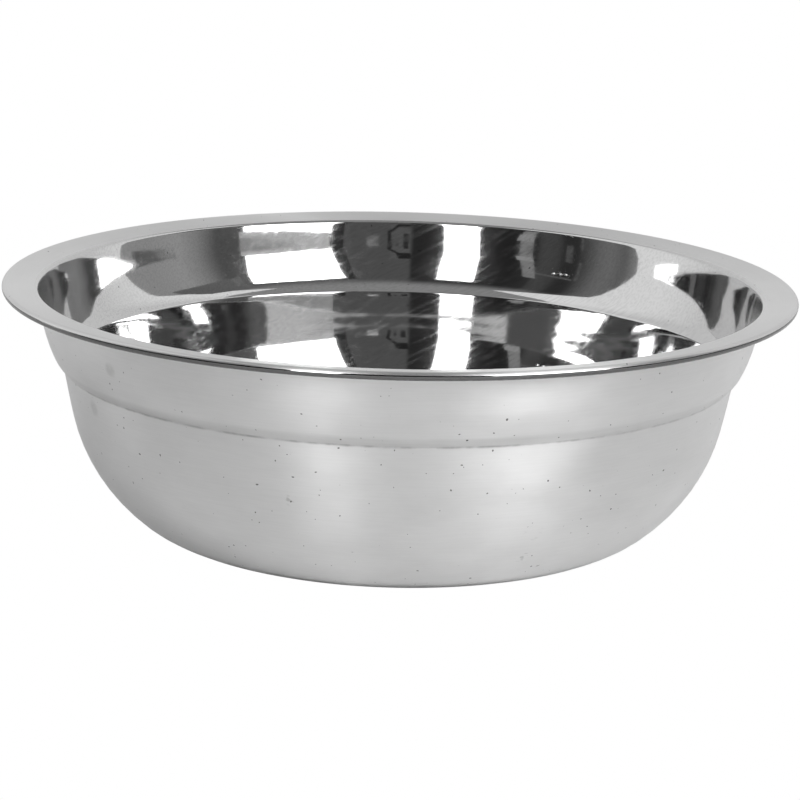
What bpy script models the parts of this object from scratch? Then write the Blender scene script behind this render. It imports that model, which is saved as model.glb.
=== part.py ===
"""Mixing bowl of stainless steel, with a wide rim, a rolled edge and a stepped side.

The bowl is one round piece of sheet steel. Its section follows the middle of the sheet,
from the tip of the rolled edge, over the rim, down the wall and the step, to the centre
of the base. The section is walked like a path of straights and arcs. A Screw modifier
turns it about the Z axis, and Solidify gives it the sheet's thickness.

Units are metres and degrees, and +Z is up. The bowl stands on z = 0, centred on the Z axis.
"""

import math

import bpy

# Driving dimensions
RIM_DIAMETER = 0.300        # over the rolled edge
SHEET = 0.0008              # thickness of the steel
BEAD_DIAMETER = 0.0030      # the rolled edge, over its outside
CURL_TURN = 269.0           # how far the edge is rolled round

# Rim: it rises outwards from the wall to the rolled edge
RIM_SLOPE = 9.3
RIM_WIDTH = 0.01057
RIM_BEND_RADIUS = 0.0012

# Upper wall: a flared mouth, a straight, then a shoulder that curves in towards the step
MOUTH_DRAFT = 12.8
MOUTH_RADIUS = 0.125
WALL_DRAFT = 10.7
WALL_LENGTH = 0.00594
SHOULDER_RADIUS = 0.0596
SHOULDER_TURN = 13.3
STEP_RADIUS = 0.0116
STEP_TURN = 27.2

# Lower side: from the crease under the step down to the base
CREASE_RADIUS = 0.0009
FLARE_DRAFT = 12.4
FLARE_RADIUS = 0.070
SIDE_DRAFT = 10.6
SIDE_LENGTH = 0.00774
SIDE_RADIUS = 0.340
SIDE_TURN = 1.55
BELLY_RADIUS = 0.0656
BELLY_TURN = 37.95
HEEL_RADIUS = 0.0302

# Facets round the axis, and colour of the steel
SEGMENTS = 72
STEEL_COLOR = (0.56, 0.56, 0.56, 1.0)
STEEL_ROUGHNESS = 0.28

# Headings of the section's straights, counted from +X towards +Z
INWARDS = 180.0
DOWNWARDS = 270.0


def clear_scene():
    """Remove whatever objects the scene starts with."""
    for item in list(bpy.data.objects):
        bpy.data.objects.remove(item)


def make_material(name, color, roughness):
    """A metal with one colour and roughness."""
    material = bpy.data.materials.new(name)
    material.use_nodes = True
    shader = material.node_tree.nodes["Principled BSDF"]
    shader.inputs["Base Color"].default_value = color
    shader.inputs["Metallic"].default_value = 1.0
    shader.inputs["Roughness"].default_value = roughness
    return material


class SectionPath:
    """A path in the XZ plane, walked as straights and arcs from a start point."""

    def __init__(self, x, z, heading):
        self.points = [(x, z)]
        self.heading = heading

    def line(self, length):
        """Go straight on."""
        x, z = self.points[-1]
        angle = math.radians(self.heading)
        self.points.append((x + length * math.cos(angle), z + length * math.sin(angle)))

    def arc(self, radius, turn, steps):
        """Turn through an arc. A positive turn bends the path to its left."""
        side = math.copysign(90.0, turn)
        to_center = math.radians(self.heading + side)
        x, z = self.points[-1]
        center_x = x + radius * math.cos(to_center)
        center_z = z + radius * math.sin(to_center)
        for step in range(1, steps + 1):
            angle = math.radians(self.heading - side + turn * step / steps)
            self.points.append((center_x + radius * math.cos(angle),
                                center_z + radius * math.sin(angle)))
        self.heading += turn

    def line_to_axis(self):
        """Go straight in to x = 0 along the base."""
        self.points.append((0.0, self.points[-1][1]))


def curl_start():
    """The tip of the rolled edge, with the bead's centre at z = 0, and the path's heading there."""
    bead_radius = BEAD_DIAMETER / 2
    curl_radius = bead_radius - SHEET / 2
    heading = INWARDS + RIM_SLOPE - CURL_TURN
    angle = math.radians(heading - 90.0)
    x = RIM_DIAMETER / 2 - bead_radius + curl_radius * math.cos(angle)
    z = curl_radius * math.sin(angle)
    return x, z, heading


def bowl_section():
    """Points of the sheet's middle line, from the rolled edge's tip to the centre of the base."""
    path = SectionPath(*curl_start())

    path.arc((BEAD_DIAMETER - SHEET) / 2, CURL_TURN, steps=9)
    path.line(RIM_WIDTH)
    path.arc(RIM_BEND_RADIUS, DOWNWARDS - MOUTH_DRAFT - path.heading, steps=3)

    path.arc(MOUTH_RADIUS, MOUTH_DRAFT - WALL_DRAFT, steps=2)
    path.line(WALL_LENGTH)
    path.arc(SHOULDER_RADIUS, -SHOULDER_TURN, steps=2)
    path.arc(STEP_RADIUS, -STEP_TURN, steps=3)

    path.arc(CREASE_RADIUS, DOWNWARDS - FLARE_DRAFT - path.heading, steps=2)
    path.arc(FLARE_RADIUS, FLARE_DRAFT - SIDE_DRAFT, steps=2)
    path.line(SIDE_LENGTH)
    path.arc(SIDE_RADIUS, -SIDE_TURN, steps=2)
    path.arc(BELLY_RADIUS, -BELLY_TURN, steps=4)
    path.arc(HEEL_RADIUS, INWARDS - path.heading, steps=5)
    path.line_to_axis()

    lift = SHEET / 2 - path.points[-1][1]
    return [(x, z + lift) for x, z in path.points]


def turned_shell(name, section, thickness, material, collection):
    """Turn an open section about the Z axis and give it a thickness, half to each side."""
    mesh = bpy.data.meshes.new(name)
    edges = [(index, index + 1) for index in range(len(section) - 1)]
    mesh.from_pydata([(x, 0.0, z) for x, z in section], edges, [])
    mesh.materials.append(material)

    shell = bpy.data.objects.new(name, mesh)
    collection.objects.link(shell)

    screw = shell.modifiers.new("Turn", "SCREW")
    screw.axis = "Z"
    screw.steps = SEGMENTS
    screw.render_steps = SEGMENTS
    screw.use_merge_vertices = True
    screw.merge_threshold = 0.00001
    screw.use_smooth_shade = True

    solidify = shell.modifiers.new("Sheet", "SOLIDIFY")
    solidify.thickness = thickness
    solidify.offset = 0.0
    solidify.use_even_offset = True
    return shell


def build_mixing_bowl():
    """The whole object: one turned sheet."""
    collection = bpy.data.collections.new("mixing_bowl")
    bpy.context.scene.collection.children.link(collection)
    steel = make_material("stainless_steel", STEEL_COLOR, STEEL_ROUGHNESS)
    turned_shell("bowl", bowl_section(), SHEET, steel, collection)


clear_scene()
build_mixing_bowl()
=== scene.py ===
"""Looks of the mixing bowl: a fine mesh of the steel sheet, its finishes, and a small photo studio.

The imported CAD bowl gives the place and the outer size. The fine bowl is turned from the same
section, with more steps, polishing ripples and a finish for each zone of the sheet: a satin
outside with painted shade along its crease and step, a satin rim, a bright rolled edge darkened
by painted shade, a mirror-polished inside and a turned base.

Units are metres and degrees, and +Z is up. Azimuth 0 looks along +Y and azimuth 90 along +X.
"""

from collections import namedtuple
import math

import bpy
from mathutils import Matrix, Vector, noise


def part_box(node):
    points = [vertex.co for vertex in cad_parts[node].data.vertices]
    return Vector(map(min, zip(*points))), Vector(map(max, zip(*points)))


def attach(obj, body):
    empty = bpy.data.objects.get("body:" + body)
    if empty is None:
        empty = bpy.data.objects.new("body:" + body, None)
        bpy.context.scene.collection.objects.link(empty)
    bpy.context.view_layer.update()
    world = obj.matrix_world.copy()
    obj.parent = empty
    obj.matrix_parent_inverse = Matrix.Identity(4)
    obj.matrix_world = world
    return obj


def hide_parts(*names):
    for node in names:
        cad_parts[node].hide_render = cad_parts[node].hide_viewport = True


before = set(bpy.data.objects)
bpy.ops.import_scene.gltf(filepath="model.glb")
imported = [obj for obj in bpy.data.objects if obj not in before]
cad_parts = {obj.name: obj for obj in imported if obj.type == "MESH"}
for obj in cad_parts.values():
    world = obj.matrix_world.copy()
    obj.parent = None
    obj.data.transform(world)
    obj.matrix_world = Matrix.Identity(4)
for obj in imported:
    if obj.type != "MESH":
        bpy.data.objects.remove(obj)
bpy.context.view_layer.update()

BOWL_LOW, BOWL_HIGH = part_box("bowl")

# ---------------------------------------------------------------- section of the sheet
# The same driving dimensions as the CAD section. The rim's diameter comes from the frame.
RIM_RADIUS = (BOWL_HIGH.x - BOWL_LOW.x) / 2
SHEET = 0.0008
BEAD_DIAMETER = 0.0030
CURL_TURN = 269.0
RIM_SLOPE = 9.3
RIM_WIDTH = 0.01057
RIM_BEND_RADIUS = 0.0012
MOUTH_DRAFT = 12.8
MOUTH_RADIUS = 0.125
WALL_DRAFT = 10.7
WALL_LENGTH = 0.00594
SHOULDER_RADIUS = 0.0596
SHOULDER_TURN = 13.3
STEP_RADIUS = 0.0116
STEP_TURN = 27.2
CREASE_RADIUS = 0.0009
FLARE_DRAFT = 12.4
FLARE_RADIUS = 0.070
SIDE_DRAFT = 10.6
SIDE_LENGTH = 0.00774
SIDE_RADIUS = 0.340
SIDE_TURN = 1.55
BELLY_RADIUS = 0.0656
BELLY_TURN = 37.95
HEEL_RADIUS = 0.0302

INWARDS = 180.0
DOWNWARDS = 270.0

SEGMENTS = 576             # round the axis
TIP_STEP = 0.00005         # the base's last ring stays this far from the axis

# Steps along each stretch of the section, on the polished inner face and on the outer face
STRETCHES = ("bead", "rim", "bend", "wall", "shoulder", "step",
             "crease", "side", "belly", "heel", "base")
INNER_STEPS = dict(zip(STRETCHES, (24, 4, 6, 6, 10, 6, 5, 10, 16, 8, 6)))
OUTER_STEPS = dict(zip(STRETCHES, (8, 2, 3, 1, 6, 4, 4, 2, 8, 7, 4)))

# Finish of each zone, on the inner and on the outer face of the sheet
FINISHES = ("satin_outside", "satin_rim", "bright_edge_painted_shade", "mirror_inside", "turned_base")
INNER_FINISH = {"rim": "satin_rim"}
OUTER_FINISH = {"bead": "satin_rim", "base": "turned_base"}
SHADED_MIRROR_EDGE_BAND = (-0.90, 0.45)      # the rolled edge is mirror-polished, and darkened by painted shade, where its normal rises this much

# Polishing ripples: (cells per metre, height) of each layer of noise
FINE_ZONES = ("bend", "wall", "shoulder", "step", "crease", "side")    # with fine ripples inside
FINE_RIPPLES = ((30.0, 0.000020), (110.0, 0.000006), (260.0, 0.000006), (450.0, 0.000003))
BROAD_RIPPLES = ((30.0, 0.000030),)
NOISE_SHIFT = 0.3          # the ripples are read this far up in the field of noise
CENTER_FLAT = 0.030        # inside this radius the ripples fade towards the axis
FOOT_FLAT = 0.012          # below this height the outside's ripples fade, so the foot stands flat

# Drawing marks: shallow rings on the inside of the lower side
MARKS_HEIGHT = 0.0000048
MARKS_PITCH = 0.0052
MARKS_CENTER = 0.0537
MARKS_LOW, MARKS_HIGH = 0.0457, 0.0551
MARKS_FADE = 0.002

# A place along one face of the sheet: its position, normal, length of section so far, and zone
Station = namedtuple("Station", "x z nx nz along zone")


class SectionPath:
    """A path in the XZ plane, walked as straights and arcs, that keeps each point's heading."""

    def __init__(self, x, z, heading, steps):
        self.x, self.z, self.heading, self.steps = x, z, heading, steps
        self.points = []
        self.note("bead")

    def note(self, zone):
        """Keep the present point, with its heading and the zone that leads up to it."""
        self.points.append((self.x, self.z, self.heading, zone))

    def line(self, length, zone):
        """Go straight on."""
        angle = math.radians(self.heading)
        steps = self.steps[zone]
        for _ in range(steps):
            self.x += length / steps * math.cos(angle)
            self.z += length / steps * math.sin(angle)
            self.note(zone)

    def arc(self, radius, turn, zone):
        """Turn through an arc. A positive turn bends the path to its left."""
        side = math.copysign(90.0, turn)
        to_center = math.radians(self.heading + side)
        center_x = self.x + radius * math.cos(to_center)
        center_z = self.z + radius * math.sin(to_center)
        start, steps = self.heading, self.steps[zone]
        for step in range(1, steps + 1):
            self.heading = start + turn * step / steps
            angle = math.radians(self.heading - side)
            self.x = center_x + radius * math.cos(angle)
            self.z = center_z + radius * math.sin(angle)
            self.note(zone)


def bowl_section(steps):
    """The sheet's middle line, from the rolled edge's tip to just short of the base's centre."""
    bead_radius = BEAD_DIAMETER / 2
    curl_radius = bead_radius - SHEET / 2
    heading = INWARDS + RIM_SLOPE - CURL_TURN
    tip = math.radians(heading - 90.0)
    path = SectionPath(RIM_RADIUS - bead_radius + curl_radius * math.cos(tip),
                       curl_radius * math.sin(tip), heading, steps)

    path.arc(curl_radius, CURL_TURN, "bead")
    path.line(RIM_WIDTH, "rim")
    path.arc(RIM_BEND_RADIUS, DOWNWARDS - MOUTH_DRAFT - path.heading, "bend")

    path.arc(MOUTH_RADIUS, MOUTH_DRAFT - WALL_DRAFT, "wall")
    path.line(WALL_LENGTH, "wall")
    path.arc(SHOULDER_RADIUS, -SHOULDER_TURN, "shoulder")
    path.arc(STEP_RADIUS, -STEP_TURN, "step")
    path.arc(CREASE_RADIUS, DOWNWARDS - FLARE_DRAFT - path.heading, "crease")

    path.arc(FLARE_RADIUS, FLARE_DRAFT - SIDE_DRAFT, "side")
    path.line(SIDE_LENGTH, "side")
    path.arc(SIDE_RADIUS, -SIDE_TURN, "side")
    path.arc(BELLY_RADIUS, -BELLY_TURN, "belly")
    path.arc(HEEL_RADIUS, INWARDS - path.heading, "heel")
    path.line(path.x - TIP_STEP, "base")
    return path.points


def face_of_sheet(steps, side):
    """The stations along one face of the sheet. The outer face's side is 1 and the inner one's -1."""
    stations = []
    along = 0.0
    points = bowl_section(steps)
    last_x, last_z = points[0][:2]
    for x, z, heading, zone in points:
        along += math.hypot(x - last_x, z - last_z)
        last_x, last_z = x, z
        left = math.radians(heading + 90.0)
        nx, nz = side * math.cos(left), side * math.sin(left)
        stations.append(Station(x + SHEET / 2 * nx, z + SHEET / 2 * nz, nx, nz, along, zone))
    return stations


def inner_finish(station):
    """Finish at a station of the inner face. The rolled edge is polished, with painted shade, round its
    front only.
    """
    if station.zone == "bead":
        return "bright_edge_painted_shade" if SHADED_MIRROR_EDGE_BAND[0] < station.nz < SHADED_MIRROR_EDGE_BAND[1] else "satin_rim"
    return INNER_FINISH.get(station.zone, "mirror_inside")


def outer_finish(station):
    """Finish at a station of the outer face."""
    return OUTER_FINISH.get(station.zone, "satin_outside")


INNER_FACE = face_of_sheet(INNER_STEPS, -1)
OUTER_FACE = face_of_sheet(OUTER_STEPS, 1)
FOOT_RADIUS = [station.x for station in OUTER_FACE if station.zone == "heel"][-1]


def ripple(place, layers):
    """Height of the polishing ripples at a place on the sheet."""
    return sum(height * noise.noise(place * cells) for cells, height in layers)


def drawing_marks(z):
    """Height of the shallow rings that drawing leaves inside the lower side."""
    inside = min(z - MARKS_LOW, MARKS_HIGH - z) / MARKS_FADE
    fade = min(max(inside, 0.0), 1.0)
    return MARKS_HEIGHT * fade * math.sin(math.tau * (z - MARKS_CENTER) / MARKS_PITCH)


def relief(station, height, outside):
    """How a ring leaves the true section: its layers of ripples, their fade, and a drawing mark."""
    fine = station.zone in FINE_ZONES and not outside
    layers = FINE_RIPPLES if fine else BROAD_RIPPLES
    mark = drawing_marks(height) if fine else 0.0
    if station.zone == "bead":
        return layers, 0.0, mark
    fade = min(station.x / CENTER_FLAT, 1.0)
    if outside:
        fade *= min(height / FOOT_FLAT, 1.0)
    return layers, fade, mark


def ring(station, lift, outside):
    """One ring of the turned sheet, lifted to its height and moved along its normal by the relief."""
    layers, fade, mark = relief(station, station.z + lift, outside)
    points = []
    for segment in range(SEGMENTS):
        angle = math.tau * segment / SEGMENTS
        cos, sin = math.cos(angle), math.sin(angle)
        place = Vector((station.x * cos, station.x * sin, station.z + NOISE_SHIFT))
        out = ripple(place, layers) * fade + mark
        radius = station.x + station.nx * out
        points.append((radius * cos, radius * sin, station.z + station.nz * out + lift))
    return points


def band(index, next_index):
    """The faces between two neighbouring rings."""
    start, following = index * SEGMENTS, next_index * SEGMENTS
    faces = []
    for segment in range(SEGMENTS):
        turn = (segment + 1) % SEGMENTS
        faces.append((start + segment, following + segment, following + turn, start + turn))
    return faces


def sheet_faces():
    """The faces that join the rings, each with its finish: down the inside, then up the outside."""
    outside = list(reversed(OUTER_FACE))
    faces, finishes = [], []
    for index, station in enumerate(INNER_FACE[1:]):
        faces += band(index, index + 1)
        finishes += [inner_finish(station)] * SEGMENTS

    first = len(INNER_FACE)
    count = first + len(outside)
    for index, station in enumerate(outside, first):
        faces += band(index, (index + 1) % count)
        finishes += [outer_finish(station)] * SEGMENTS

    # the caps that close the last ring of each face at the axis
    top = (first - 1) * SEGMENTS
    bottom = first * SEGMENTS
    faces.append(tuple(range(top, top + SEGMENTS)))
    faces.append(tuple(reversed(range(bottom, bottom + SEGMENTS))))
    finishes += ["mirror_inside", "turned_base"]
    return faces, [FINISHES.index(finish) for finish in finishes]


def add_brushing(mesh, points, alongs):
    """The satin's coordinates: a unit vector away from the axis, and the length along the section."""
    values = []
    for (x, y, _), along in zip(points, alongs):
        radius = math.hypot(x, y)
        values += [x / radius, y / radius, along]
    mesh.attributes.new("brushing", "FLOAT_VECTOR", "POINT").data.foreach_set("vector", values)


def turned_sheet(name, base_z):
    """The bowl as one closed mesh, with the finish of each zone and the brushing's coordinates."""
    lift = base_z - OUTER_FACE[-1].z
    points, alongs = [], []
    for face, outside in ((INNER_FACE, False), (reversed(OUTER_FACE), True)):
        for station in face:
            points += ring(station, lift, outside)
            alongs += [station.along] * SEGMENTS
    faces, finishes = sheet_faces()

    mesh = bpy.data.meshes.new(name)
    mesh.from_pydata(points, [], faces)
    mesh.polygons.foreach_set("material_index", finishes)
    mesh.polygons.foreach_set("use_smooth", [True] * len(faces))
    add_brushing(mesh, points, alongs)
    mesh.validate()
    mesh.update()
    piece = bpy.data.objects.new(name, mesh)
    bpy.context.scene.collection.objects.link(piece)
    return piece


# ---------------------------------------------------------------- finishes
STEEL = (0.66, 0.66, 0.66)

# Each satin finish: roughness, how much the streaks vary it, and the level of noise above which a pit lies
PIT_LEVEL = 0.832
RARE_PIT_LEVEL = 0.86
SATIN_OUTSIDE = (0.297, 0.006, PIT_LEVEL)
SATIN_RIM = (0.30, 0.006, RARE_PIT_LEVEL)
TURNED_BASE = (0.36, 0.025, PIT_LEVEL)
ANISOTROPY = 0.85
TANGENT_TURN = 0.25             # of a full turn, from the tangent that runs round the axis

# Brushing: cells to a radian round the axis, cells to a metre of section, and detail of each noise
STREAKS = (9.0, 1500.0, 1.0)
CLOUDS = (5.0, 70.0, 3.0)
NOISE_SPAN = (0.3, 0.7)         # the values of noise that a range runs between
MIDDLE_SPAN = (0.35, 0.65)      # and a narrower span, for more contrast
STREAK_SHADES = (-0.012, 0.012)
CLOUD_SHADES = (0.97, 1.03)
CLOUD_SPREAD = 0.010            # of roughness
BRUSHING_DEPTH = 0.00001        # depth of a pit in the bump map
STREAK_DEPTH = 0.3              # depth of a streak, as a share of a pit's

PIT_CELLS = 720.0               # of noise, to a metre
PIT_EDGE = 0.025                # the rise in noise from a pit's edge to its floor
PIT_SHADE = 0.75

# Painted shade lies along the crease under the step, broken by noise, and darkens a band on the step
CREASE_HEIGHT = 0.0629
CREASE_REACH = 0.0009
CREASE_SHADE = 0.36
CREASE_BREAKS = (0.2, 1.0)      # how strong the line is where it is faintest and where it is fullest
CREASE_CELLS = 170.0
STEP_HEIGHT = 0.0649
STEP_REACH = (0.0008, 0.0026)
STEP_PAINTED_SHADE = 0.30

# Marks on the outside, each by azimuth, radius, height and size
SMUDGES = ((228.2, 0.1347, 0.0779, 0.0036),
           (239.6, 0.1265, 0.0574, 0.0040),
           (71.0, 0.1265, 0.0550, 0.0040))
SCUFFS = ((156.0, 0.1183, 0.0282, 0.0045),
          (156.1, 0.1116, 0.0175, 0.0038),
          (196.9, 0.1231, 0.0407, 0.0030),
          (37.0, 0.1240, 0.0450, 0.0040),
          (318.0, 0.1183, 0.0282, 0.0040))
SPOT_CORE = 0.3                 # a mark is at full strength out to this share of its size
SMUDGE_CELLS = 260.0
SMUDGE_SHADE = 0.30
SCUFF_CELLS = 900.0
SCUFF_TURN = (0.0, 25.0, 15.0)
SCUFF_STRETCH = (9.0, 1.0, 1.0)
SCUFF_SPAN = (0.58, 0.70)       # a scratch starts and is full at these values of its noise
SCUFF_SHADE = 0.25
SCUFF_ROUGHNESS = 0.08

# Mirror polish: wiping leaves duller streaks, and hairlines that are finer still
MIRROR_POLISH = 1.0
EDGE_PAINTED_SHADE = 0.25              # painted shade: the polished rolled edge's colour is darkened to this share
MIRROR_ROUGHNESS = (0.049, 0.080)    # where it is bright, and where wiping has dulled it
WIPING_CELLS = 700.0
WIPING_SPAN = (0.46, 0.70)
WIPING_TURN = (0.0, -28.0, 0.0)
WIPING_STRETCH = (24.0, 1.0, 1.0)
HAIRLINE_CELLS = 1400.0
HAIRLINE_SPAN = (0.40, 0.66)
HAIRLINE_SHADE = 0.075
MIRROR_PIT_SHADE = 0.5


class Nodes:
    """A short way to write a material's nodes."""

    def __init__(self, tree):
        self.tree = tree

    def add(self, kind, **settings):
        """A new node with its settings. An input's value is given by in_ and the input's name."""
        node = self.tree.nodes.new(kind)
        for key, value in settings.items():
            if key.startswith("in_"):
                node.inputs[key[3:].replace("_", " ")].default_value = value
            else:
                setattr(node, key, value)
        return node

    def link(self, start, end):
        """Join an output socket to an input socket."""
        self.tree.links.new(start, end)

    def math(self, operation, first, second=None):
        """A Math node of two values, each a socket or a number."""
        node = self.add("ShaderNodeMath", operation=operation)
        for index, value in enumerate((first, second)):
            if value is None:
                continue
            if isinstance(value, (int, float)):
                node.inputs[index].default_value = value
            else:
                self.link(value, node.inputs[index])
        return node.outputs[0]

    def ranged(self, value, low, high, out_low, out_high, smooth=True):
        """value from low..high to out_low..out_high, kept within them."""
        node = self.add("ShaderNodeMapRange", interpolation_type="SMOOTHSTEP" if smooth else "LINEAR",
                        in_From_Min=low, in_From_Max=high, in_To_Min=out_low, in_To_Max=out_high)
        self.link(value, node.inputs["Value"])
        return node.outputs["Result"]

    def place(self, coordinates="Object"):
        """The X, Y and Z of a texture coordinate."""
        split = self.add("ShaderNodeSeparateXYZ")
        self.link(self.add("ShaderNodeTexCoord").outputs[coordinates], split.inputs[0])
        return split.outputs

    def camera_sees(self, seen, otherwise, surface):
        """Give a surface one shader for the camera and another for everything else."""
        path = self.add("ShaderNodeLightPath")
        mix = self.add("ShaderNodeMixShader")
        self.link(path.outputs["Is Camera Ray"], mix.inputs[0])
        self.link(otherwise.outputs[0], mix.inputs[1])
        self.link(seen.outputs[0], mix.inputs[2])
        self.link(mix.outputs[0], surface)


def metal(name):
    """A metal material with its shader, ready for more nodes."""
    material = bpy.data.materials.new(name)
    material.use_nodes = True
    shader = material.node_tree.nodes["Principled BSDF"]
    shader.inputs["Metallic"].default_value = 1.0
    return material, Nodes(material.node_tree), shader


def shaded(nodes, shade, shader):
    """Give the shader the colour of steel times a shade."""
    scale = nodes.add("ShaderNodeVectorMath", operation="SCALE")
    scale.inputs[0].default_value = STEEL
    nodes.link(shade, scale.inputs["Scale"])
    nodes.link(scale.outputs[0], shader.inputs["Base Color"])


def brushed_noise(nodes, around, across, detail):
    """Noise drawn out round the axis: around cells to a radian, across cells to a metre of section."""
    place = nodes.add("ShaderNodeAttribute", attribute_name="brushing")
    scale = nodes.add("ShaderNodeVectorMath", operation="MULTIPLY")
    scale.inputs[1].default_value = (around, around, across)
    nodes.link(place.outputs["Vector"], scale.inputs[0])
    texture = nodes.add("ShaderNodeTexNoise", in_Scale=1.0, in_Detail=detail)
    nodes.link(scale.outputs[0], texture.inputs["Vector"])
    return texture.outputs["Fac"]


def solid_noise(nodes, cells, detail, turn=(0.0, 0.0, 0.0), stretch=(1.0, 1.0, 1.0)):
    """Noise through the object's space, with so many cells to a metre, drawn out along turned axes."""
    place = nodes.add("ShaderNodeTexCoord").outputs["Object"]
    mapping = nodes.add("ShaderNodeMapping", vector_type="TEXTURE")
    mapping.inputs["Rotation"].default_value = [math.radians(angle) for angle in turn]
    mapping.inputs["Scale"].default_value = stretch
    nodes.link(place, mapping.inputs["Vector"])
    texture = nodes.add("ShaderNodeTexNoise", in_Scale=cells, in_Detail=detail)
    nodes.link(mapping.outputs[0], texture.inputs["Vector"])
    return texture.outputs["Fac"]


def pits(nodes, level):
    """Small dark pits, 1 where there is one: the peaks of a fine noise above a level."""
    return nodes.ranged(solid_noise(nodes, PIT_CELLS, 0.0), level, level + PIT_EDGE, 0.0, 1.0)


def within(nodes, spots):
    """1 at the middle of each spot and 0 outside it. A spot is an azimuth, radius, height and size."""
    place = nodes.add("ShaderNodeTexCoord").outputs["Object"]
    total = 0.0
    for azimuth, radius, height, size in spots:
        away = nodes.add("ShaderNodeVectorMath", operation="DISTANCE")
        turn = math.radians(azimuth)
        away.inputs[1].default_value = (radius * math.sin(turn), radius * math.cos(turn), height)
        nodes.link(place, away.inputs[0])
        inside = nodes.ranged(away.outputs["Value"], SPOT_CORE * size, size, 1.0, 0.0)
        total = nodes.math("MAXIMUM", inside, total)
    return total


def scuffs(nodes):
    """Hairline scratches in a few scuffed spots, 1 where there is one."""
    fine = solid_noise(nodes, SCUFF_CELLS, 0.0, SCUFF_TURN, SCUFF_STRETCH)
    return nodes.math("MULTIPLY", nodes.ranged(fine, *SCUFF_SPAN, 0.0, 1.0), within(nodes, SCUFFS))


def smudges(nodes):
    """Cloudy dark smudges in a few spots."""
    return nodes.math("MULTIPLY", within(nodes, SMUDGES), solid_noise(nodes, SMUDGE_CELLS, 2.0))


def crease_painted_shade(nodes):
    """Broken lines of painted shade along the crease, and a band of painted shade on the step above it."""
    height = nodes.place()["Z"]
    from_crease = nodes.math("ABSOLUTE", nodes.math("SUBTRACT", height, CREASE_HEIGHT))
    near = nodes.ranged(from_crease, 0.0, CREASE_REACH, 1.0, 0.0)
    broken = nodes.ranged(solid_noise(nodes, CREASE_CELLS, 3.0), *MIDDLE_SPAN, *CREASE_BREAKS)
    from_step = nodes.math("ABSOLUTE", nodes.math("SUBTRACT", height, STEP_HEIGHT))
    step_shade = nodes.ranged(from_step, *STEP_REACH, STEP_PAINTED_SHADE, 0.0)
    return nodes.math("ADD", nodes.math("MULTIPLY", near, broken), step_shade)


def brush_relief(nodes, shader, streaks, dark):
    """A fine bump map of the brushing's streaks and the pits."""
    height = nodes.math("SUBTRACT", nodes.math("MULTIPLY", streaks, STREAK_DEPTH), dark)
    bump = nodes.add("ShaderNodeBump", in_Strength=1.0, in_Distance=BRUSHING_DEPTH)
    nodes.link(height, bump.inputs["Height"])
    nodes.link(bump.outputs[0], shader.inputs["Normal"])


def brush_sheen(nodes, shader):
    """The drawn-out highlights of steel that is brushed round the axis."""
    tangent = nodes.add("ShaderNodeTangent", direction_type="RADIAL", axis="Z")
    nodes.link(tangent.outputs[0], shader.inputs["Tangent"])
    shader.inputs["Anisotropic"].default_value = ANISOTROPY
    shader.inputs["Anisotropic Rotation"].default_value = TANGENT_TURN


def satin(name, roughness, spread, pit_level):
    """Satin steel, brushed round the axis, with cloudy patches, pits, smudges and a few scuffs."""
    material, nodes, shader = metal(name)
    streaks = brushed_noise(nodes, *STREAKS)
    clouds = brushed_noise(nodes, *CLOUDS)
    scratched = scuffs(nodes)
    dark = pits(nodes, pit_level)

    rough = nodes.math("ADD", nodes.ranged(streaks, *NOISE_SPAN, roughness - spread, roughness + spread),
                       nodes.ranged(clouds, *MIDDLE_SPAN, -CLOUD_SPREAD, CLOUD_SPREAD))
    rough = nodes.math("ADD", rough, nodes.math("MULTIPLY", scratched, SCUFF_ROUGHNESS))
    nodes.link(rough, shader.inputs["Roughness"])

    shade = nodes.math("ADD", nodes.ranged(clouds, *NOISE_SPAN, *CLOUD_SHADES),
                       nodes.ranged(streaks, *NOISE_SPAN, *STREAK_SHADES))
    # the crease's line and the step's band are painted shade; pits, scuffs and smudges are the steel's own
    # marks
    marks_and_painted_shade = ((dark, PIT_SHADE), (scratched, SCUFF_SHADE),
             (smudges(nodes), SMUDGE_SHADE), (crease_painted_shade(nodes), CREASE_SHADE))
    for mark, depth in marks_and_painted_shade:
        shade = nodes.math("SUBTRACT", shade, nodes.math("MULTIPLY", mark, depth))
    shaded(nodes, shade, shader)

    brush_relief(nodes, shader, streaks, dark)
    brush_sheen(nodes, shader)
    return material


def mirror(name, painted_shade):
    """Mirror-polished steel, with the faint streaks and hairlines of wiping and a few pits."""
    material, nodes, shader = metal(name)
    wiping = solid_noise(nodes, WIPING_CELLS, 1.0, WIPING_TURN, WIPING_STRETCH)
    nodes.link(nodes.ranged(wiping, *WIPING_SPAN, *MIRROR_ROUGHNESS), shader.inputs["Roughness"])

    hairlines = solid_noise(nodes, HAIRLINE_CELLS, 1.0, WIPING_TURN, WIPING_STRETCH)
    # painted_shade scales the colour: a painted shade on the rolled edge, none on the inside
    shade = nodes.ranged(hairlines, *HAIRLINE_SPAN, painted_shade, (1.0 - HAIRLINE_SHADE) * painted_shade)
    dark = nodes.math("MULTIPLY", pits(nodes, RARE_PIT_LEVEL), MIRROR_PIT_SHADE * painted_shade)
    shaded(nodes, nodes.math("SUBTRACT", shade, dark), shader)
    return material


def make_finishes():
    """One material for each finish, in the order of FINISHES."""
    return [satin("satin_outside", *SATIN_OUTSIDE),
            satin("satin_rim", *SATIN_RIM),
            mirror("bright_edge_painted_shade", EDGE_PAINTED_SHADE),
            mirror("mirror_inside", MIRROR_POLISH),
            satin("turned_base", *TURNED_BASE)]


# ---------------------------------------------------------------- studio
BACK_OF_BOWL = Vector((0.0, 0.13, 0.09))     # the inside's back wall, which shows the studio
WHITE = (1.0, 1.0, 1.0, 1.0)

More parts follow.
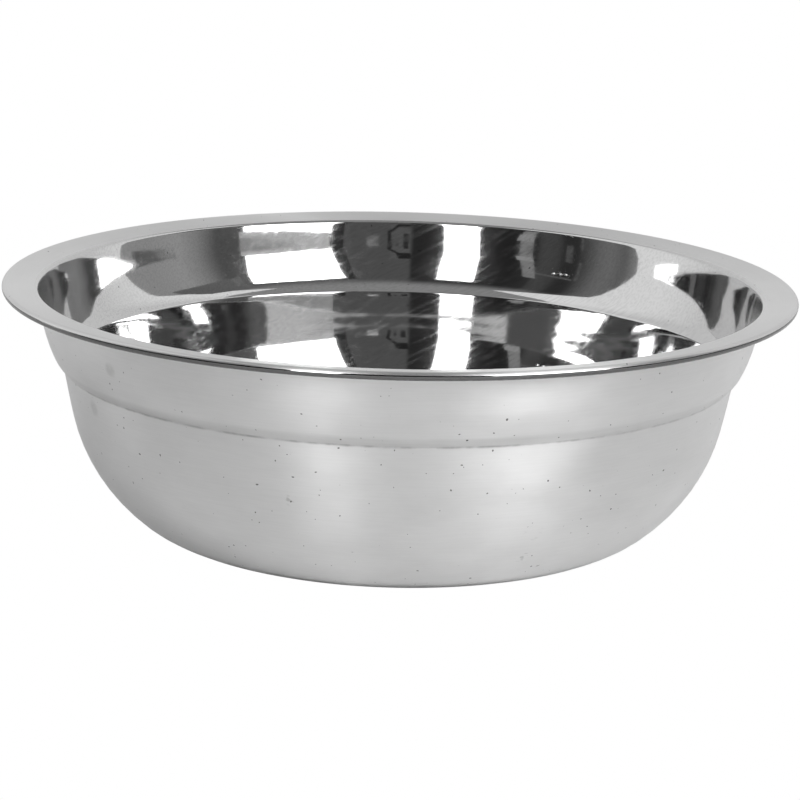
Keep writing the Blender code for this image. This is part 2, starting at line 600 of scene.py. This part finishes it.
FLOOR_SIZE = 14.0
FLOOR_ROUGHNESS = 0.9
FLOOR_GREY = (0.02, 0.43)           # a painted contact shadow under the bowl's foot, and the table round it
CONTACT_SHADOW_EDGE = (0.011, 0.0135)          # where the one fades into the other, outside the foot's radius
PAINTED_FLOOR_LIGHT = (0.0, 0.20)            # painted light: the table glows brighter towards the backdrop
PAINTED_FLOOR_LIGHT_FADE = (-0.12, 0.12)     # between these places along +Y

# The room round the bowl: azimuth and radiance, from behind the bowl round past the camera
ROOM = ((0.0, 0.75), (40.0, 0.75), (44.0, 0.34), (86.0, 0.34), (98.0, 0.38), (106.0, 0.28),
        (114.0, 0.10), (183.4, 0.10), (184.0, 0.025), (219.0, 0.02), (228.5, 0.04), (229.5, 0.08),
        (235.5, 0.07), (238.0, 0.035), (243.0, 0.035), (246.0, 0.08), (252.0, 0.17), (256.0, 0.19),
        (262.0, 0.14), (268.0, 0.30), (316.0, 0.40), (320.0, 0.75), (360.0, 0.75))
CEILING = 0.31
CEILING_FADE = (0.56, 0.92)         # the walls turn into the ceiling at these sines of elevation

# Pale walls beside the table: place along X, and the two lines of sight that a front edge runs through
PALE_WALLS = (
    ("pale_wall_right", 1.15, (77.0, 12.0), (88.0, 34.0)),
    ("pale_wall_left", -0.98, (263.0, 10.0), (249.0, 36.0)),
)
PALE_WALL = (0.95, 0.74)            # radiance at the front and towards the back
PALE_WALL_FADE = (0.30, 0.90)       # and where it changes, along +Y
WALL_FOOT = 0.01
WALL_HEIGHT = 2.2
WALL_BACK = 2.6

# The softboxes: azimuths and elevations
SOFTBOXES = (
    ("big_softbox", (126.0, 156.5), (11.3, 36.0)),
    ("strip_softbox", (194.2, 205.8), (6.0, 35.0)),
)
SOFTBOX_RADIANCE = 22.0
SOFTBOX_DISTANCE = 1.7

# The furniture, as flat cards: azimuths, elevations, how far the top leans, and radiance
STUDIO_CARDS = (
    ("softbox_skirt", (124.5, 156.0), (8.95, 11.2), 0.0, 0.55),
    ("softbox_hem", (124.5, 156.0), (6.0, 8.95), 0.0, 0.31),
    ("softbox_flank", (157.0, 160.5), (9.0, 37.0), 3.5, 0.02),
    ("flight_case_label", (168.5, 172.5), (9.4, 10.15), 0.0, 0.60),
    ("tripod_head", (176.2, 182.9), (9.0, 19.0), 0.2, 0.12),
    ("stand_column", (219.8, 224.6), (8.8, 24.5), 4.0, 0.26),
    ("boom", (227.0, 241.5), (20.0, 21.2), 1.0, 0.12),
    ("boom_post", (242.2, 243.2), (8.0, 20.5), 0.6, 0.12),
)
CARD_DISTANCE = 1.75

# Smaller things, a little in front of those
DETAIL_CARDS = (
    ("tripod_arm", (175.9, 177.1), (9.3, 11.6), -0.6, 0.02),
    ("tripod_elbow", (175.3, 176.7), (11.6, 14.6), 3.0, 0.02),
    ("tripod_knob", (180.4, 182.2), (9.6, 11.2), 0.3, 0.02),
    ("tripod_screw", (178.0, 179.0), (9.6, 10.3), 0.0, 0.03),
    ("tripod_clamp", (178.2, 183.0), (14.0, 18.6), 0.8, 0.02),
    ("stand_clamp", (218.6, 224.8), (10.0, 12.6), 1.0, 0.34),
    ("microphone", (237.0, 239.6), (7.8, 9.0), 0.0, 0.11),
    ("lamp_left", (234.1, 234.5), (18.0, 18.7), 0.0, 6.0),
    ("lamp_middle", (236.6, 237.0), (17.7, 18.4), 0.0, 6.0),
    ("lamp_right", (239.1, 239.5), (17.3, 18.0), 0.0, 6.0),
)
DETAIL_DISTANCE = 1.72

# Things nearer the bowl than the pale walls
NEAR_CARDS = (
    ("dark_corner", (91.0, 122.0), (25.0, 50.0), 0.0, 0.15),
    ("low_reflector", (273.2, 284.0), (0.5, 4.4), 0.0, 3.0),
)
NEAR_DISTANCE = 0.96

# The table's edge on the right, and how much higher its top runs at the end towards the camera
TABLE_EDGE = ("table_edge", (79.0, 98.5), (0.5, 4.0), 0.0, 0.13)
TABLE_EDGE_RISE = 1.55

# Camera: from the front, a little above the rim
CAMERA_DISTANCE = 0.991575
CAMERA_ELEVATION = 11.52
CAMERA_TILT = 2.63          # it aims this far below the rim's centre
CAMERA_ROLL = 1.467
CAMERA_PAN = 0.054          # it aims this far to the right of the axis
FOCAL_LENGTH = 117.26
SENSOR = 36.0

LIGHT_BOUNCES = 24          # light crosses the mirror-polished inside many times
HIGHLIGHT_CLAMP = 3.0       # softens the edges of the softboxes in the polished steel


def direction(azimuth, elevation):
    """Unit vector along an azimuth and an elevation."""
    a, e = math.radians(azimuth), math.radians(elevation)
    return Vector((math.sin(a) * math.cos(e), math.cos(a) * math.cos(e), math.sin(e)))


def flat_piece(name, corners, material):
    """A flat stage piece with the given corners."""
    mesh = bpy.data.meshes.new(name)
    mesh.from_pydata(corners, [], [tuple(range(len(corners)))])
    mesh.materials.append(material)
    piece = bpy.data.objects.new(name, mesh)
    bpy.context.scene.collection.objects.link(piece)
    return piece


def floor_material():
    """The table top's paint: pale, with a painted contact shadow under the foot and a painted glow towards
    the backdrop.
    """
    material = bpy.data.materials.new("white_table")
    material.use_nodes = True
    nodes = Nodes(material.node_tree)
    shader = material.node_tree.nodes["Principled BSDF"]
    shader.inputs["Roughness"].default_value = FLOOR_ROUGHNESS
    shader.inputs["Specular IOR Level"].default_value = 0.0
    shader.inputs["Emission Color"].default_value = WHITE

    place = nodes.place()
    # painted light: the table glows more towards the backdrop, seen only by the steel
    painted_light = nodes.ranged(place["Y"], *PAINTED_FLOOR_LIGHT_FADE, *PAINTED_FLOOR_LIGHT, smooth=False)
    nodes.link(painted_light, shader.inputs["Emission Strength"])
    from_axis = nodes.math("SQRT", nodes.math("ADD", nodes.math("POWER", place["X"], 2.0),
                                              nodes.math("POWER", place["Y"], 2.0)))
    # painted contact shadow: a dark grey disc under the foot, seen only by the steel
    shadow_start, shadow_end = (FOOT_RADIUS + edge for edge in CONTACT_SHADOW_EDGE)
    nodes.link(nodes.ranged(from_axis, shadow_start, shadow_end, *FLOOR_GREY), shader.inputs["Base Color"])

    bright = nodes.add("ShaderNodeEmission", in_Strength=1.0)
    nodes.camera_sees(bright, shader, material.node_tree.nodes["Material Output"].inputs["Surface"])
    return material


def add_floor(base_z):
    """A pale table top. The camera sees it overexposed to white; the steel sees it lit, with its painted
    contact shadow and painted glow.
    """
    half = FLOOR_SIZE / 2
    corners = [(-half, -half, base_z), (half, -half, base_z), (half, half, base_z), (-half, half, base_z)]
    flat_piece("floor", corners, floor_material())


def glowing(name, radiance):
    """A card that is evenly bright."""
    material = bpy.data.materials.new(name)
    material.use_nodes = True
    nodes = Nodes(material.node_tree)
    light = nodes.add("ShaderNodeEmission", in_Strength=radiance)
    nodes.link(light.outputs[0], material.node_tree.nodes["Material Output"].inputs["Surface"])
    material.node_tree.nodes.remove(material.node_tree.nodes["Principled BSDF"])
    return material


def fading_wall(name):
    """A glowing card that gets duller along +Y."""
    material = glowing(name, 1.0)
    nodes = Nodes(material.node_tree)
    radiance = nodes.ranged(nodes.place()["Y"], *PALE_WALL_FADE, *PALE_WALL, smooth=False)
    nodes.link(radiance, material.node_tree.nodes["Emission"].inputs["Strength"])
    return material


def on_side(side_x, azimuth, elevation):
    """Where the line of sight from the bowl's back wall meets the plane x = side_x."""
    sight = direction(azimuth, elevation)
    return BACK_OF_BOWL + sight * ((side_x - BACK_OF_BOWL.x) / sight.x)


def add_pale_wall(name, side_x, low, high):
    """A pale wall beside the table. Its front edge runs through two lines of sight."""
    bottom, top = on_side(side_x, *low), on_side(side_x, *high)
    slope = (top - bottom) / (top.z - bottom.z)
    foot = bottom - slope * (bottom.z - WALL_FOOT)
    head = bottom + slope * (WALL_HEIGHT - bottom.z)
    back = [Vector((side_x, WALL_BACK, z)) for z in (WALL_HEIGHT, WALL_FOOT)]
    wall = flat_piece(name, [foot, head, *back], fading_wall(name))
    wall.visible_camera = False


def add_world():
    """A studio room: a pale backdrop behind the bowl, dark behind the camera, a grey ceiling."""
    world = bpy.data.worlds.new("studio")
    bpy.context.scene.world = world
    world.use_nodes = True
    nodes = Nodes(world.node_tree)
    place = nodes.place("Generated")

    turn = nodes.math("ARCTAN2", place["X"], place["Y"])
    turn = nodes.math("DIVIDE", nodes.math("FLOORED_MODULO", turn, math.tau), math.tau)
    ramp = nodes.add("ShaderNodeValToRGB")
    stops = ramp.color_ramp.elements
    for azimuth, _ in ROOM[1:-1]:
        stops.new(azimuth / 360.0)
    for stop, (azimuth, radiance) in zip(stops, ROOM):
        stop.position = azimuth / 360.0
        stop.color = (radiance, radiance, radiance, 1.0)
    nodes.link(turn, ramp.inputs[0])

    above = nodes.ranged(place["Z"], *CEILING_FADE, 0.0, 1.0)
    walls = nodes.math("MULTIPLY", ramp.outputs[0], nodes.math("SUBTRACT", 1.0, above))
    room = world.node_tree.nodes["Background"]
    nodes.link(nodes.math("ADD", walls, nodes.math("MULTIPLY", above, CEILING)), room.inputs["Color"])
    seen = nodes.add("ShaderNodeBackground", in_Color=WHITE)
    nodes.camera_sees(seen, room, world.node_tree.nodes["World Output"].inputs["Surface"])


def add_softbox(name, azimuths, elevations):
    """A softbox between two azimuths and two elevations, seen from the inside's back wall."""
    wide, high = azimuths[1] - azimuths[0], elevations[1] - elevations[0]
    data = bpy.data.lights.new(name, "AREA")
    data.shape = "RECTANGLE"
    data.size = 2 * SOFTBOX_DISTANCE * math.tan(math.radians(wide / 2))
    data.size_y = 2 * SOFTBOX_DISTANCE * math.tan(math.radians(high / 2))
    data.energy = SOFTBOX_RADIANCE * data.size * data.size_y * math.pi
    lamp = bpy.data.objects.new(name, data)
    away = direction(sum(azimuths) / 2, sum(elevations) / 2)
    lamp.location = BACK_OF_BOWL + away * SOFTBOX_DISTANCE
    lamp.rotation_mode = "QUATERNION"
    lamp.rotation_quaternion = away.to_track_quat("Z", "Y")
    lamp.visible_camera = False
    bpy.context.scene.collection.objects.link(lamp)


def add_sight_card(name, azimuths, elevations, lean, radiance, distance, rise=0.0):
    """A flat card between two azimuths and two elevations, seen from the inside's back wall."""
    (left, right), (low, high) = azimuths, elevations
    sights = ((left, low), (right, low), (right + lean, high + rise), (left + lean, high))
    corners = [BACK_OF_BOWL + direction(*sight) * distance for sight in sights]
    flat_piece(name, corners, glowing(name, radiance)).visible_camera = False


def add_studio_cards():
    """The studio's furniture, which shows in the polished inside."""
    groups = ((CARD_DISTANCE, STUDIO_CARDS), (DETAIL_DISTANCE, DETAIL_CARDS), (NEAR_DISTANCE, NEAR_CARDS))
    for distance, cards in groups:
        for card in cards:
            add_sight_card(*card, distance)
    add_sight_card(*TABLE_EDGE, CARD_DISTANCE, TABLE_EDGE_RISE)


def add_camera():
    """A long lens a little above the rim, with the slight roll of a camera held by hand."""
    data = bpy.data.cameras.new("camera")
    data.lens = FOCAL_LENGTH
    data.sensor_width = SENSOR
    camera = bpy.data.objects.new("camera", data)
    rim_center = Vector((0.0, 0.0, BOWL_HIGH.z))
    location = rim_center + direction(180.0, CAMERA_ELEVATION) * CAMERA_DISTANCE
    rotation = (Matrix.Rotation(math.radians(-CAMERA_PAN), 4, "Z")
                @ Matrix.Rotation(math.radians(90.0 - CAMERA_ELEVATION - CAMERA_TILT), 4, "X")
                @ Matrix.Rotation(math.radians(CAMERA_ROLL), 4, "Z"))
    camera.matrix_world = Matrix.Translation(location) @ rotation
    bpy.context.scene.collection.objects.link(camera)
    bpy.context.scene.camera = camera


def set_view():
    """How the picture is made: plain colours, enough bounces, and softened highlights."""
    scene = bpy.context.scene
    scene.view_settings.view_transform = "Standard"
    scene.cycles.max_bounces = LIGHT_BOUNCES
    scene.cycles.glossy_bounces = LIGHT_BOUNCES
    scene.cycles.sample_clamp_direct = HIGHLIGHT_CLAMP
    scene.cycles.sample_clamp_indirect = HIGHLIGHT_CLAMP


# ---------------------------------------------------------------- the scene
bowl = turned_sheet("mixing_bowl", BOWL_LOW.z)
for finish in make_finishes():
    bowl.data.materials.append(finish)
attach(bowl, "root")
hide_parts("bowl")

add_floor(BOWL_LOW.z)
for pale_wall in PALE_WALLS:
    add_pale_wall(*pale_wall)
add_world()
for softbox in SOFTBOXES:
    add_softbox(*softbox)
add_studio_cards()
add_camera()
set_view()
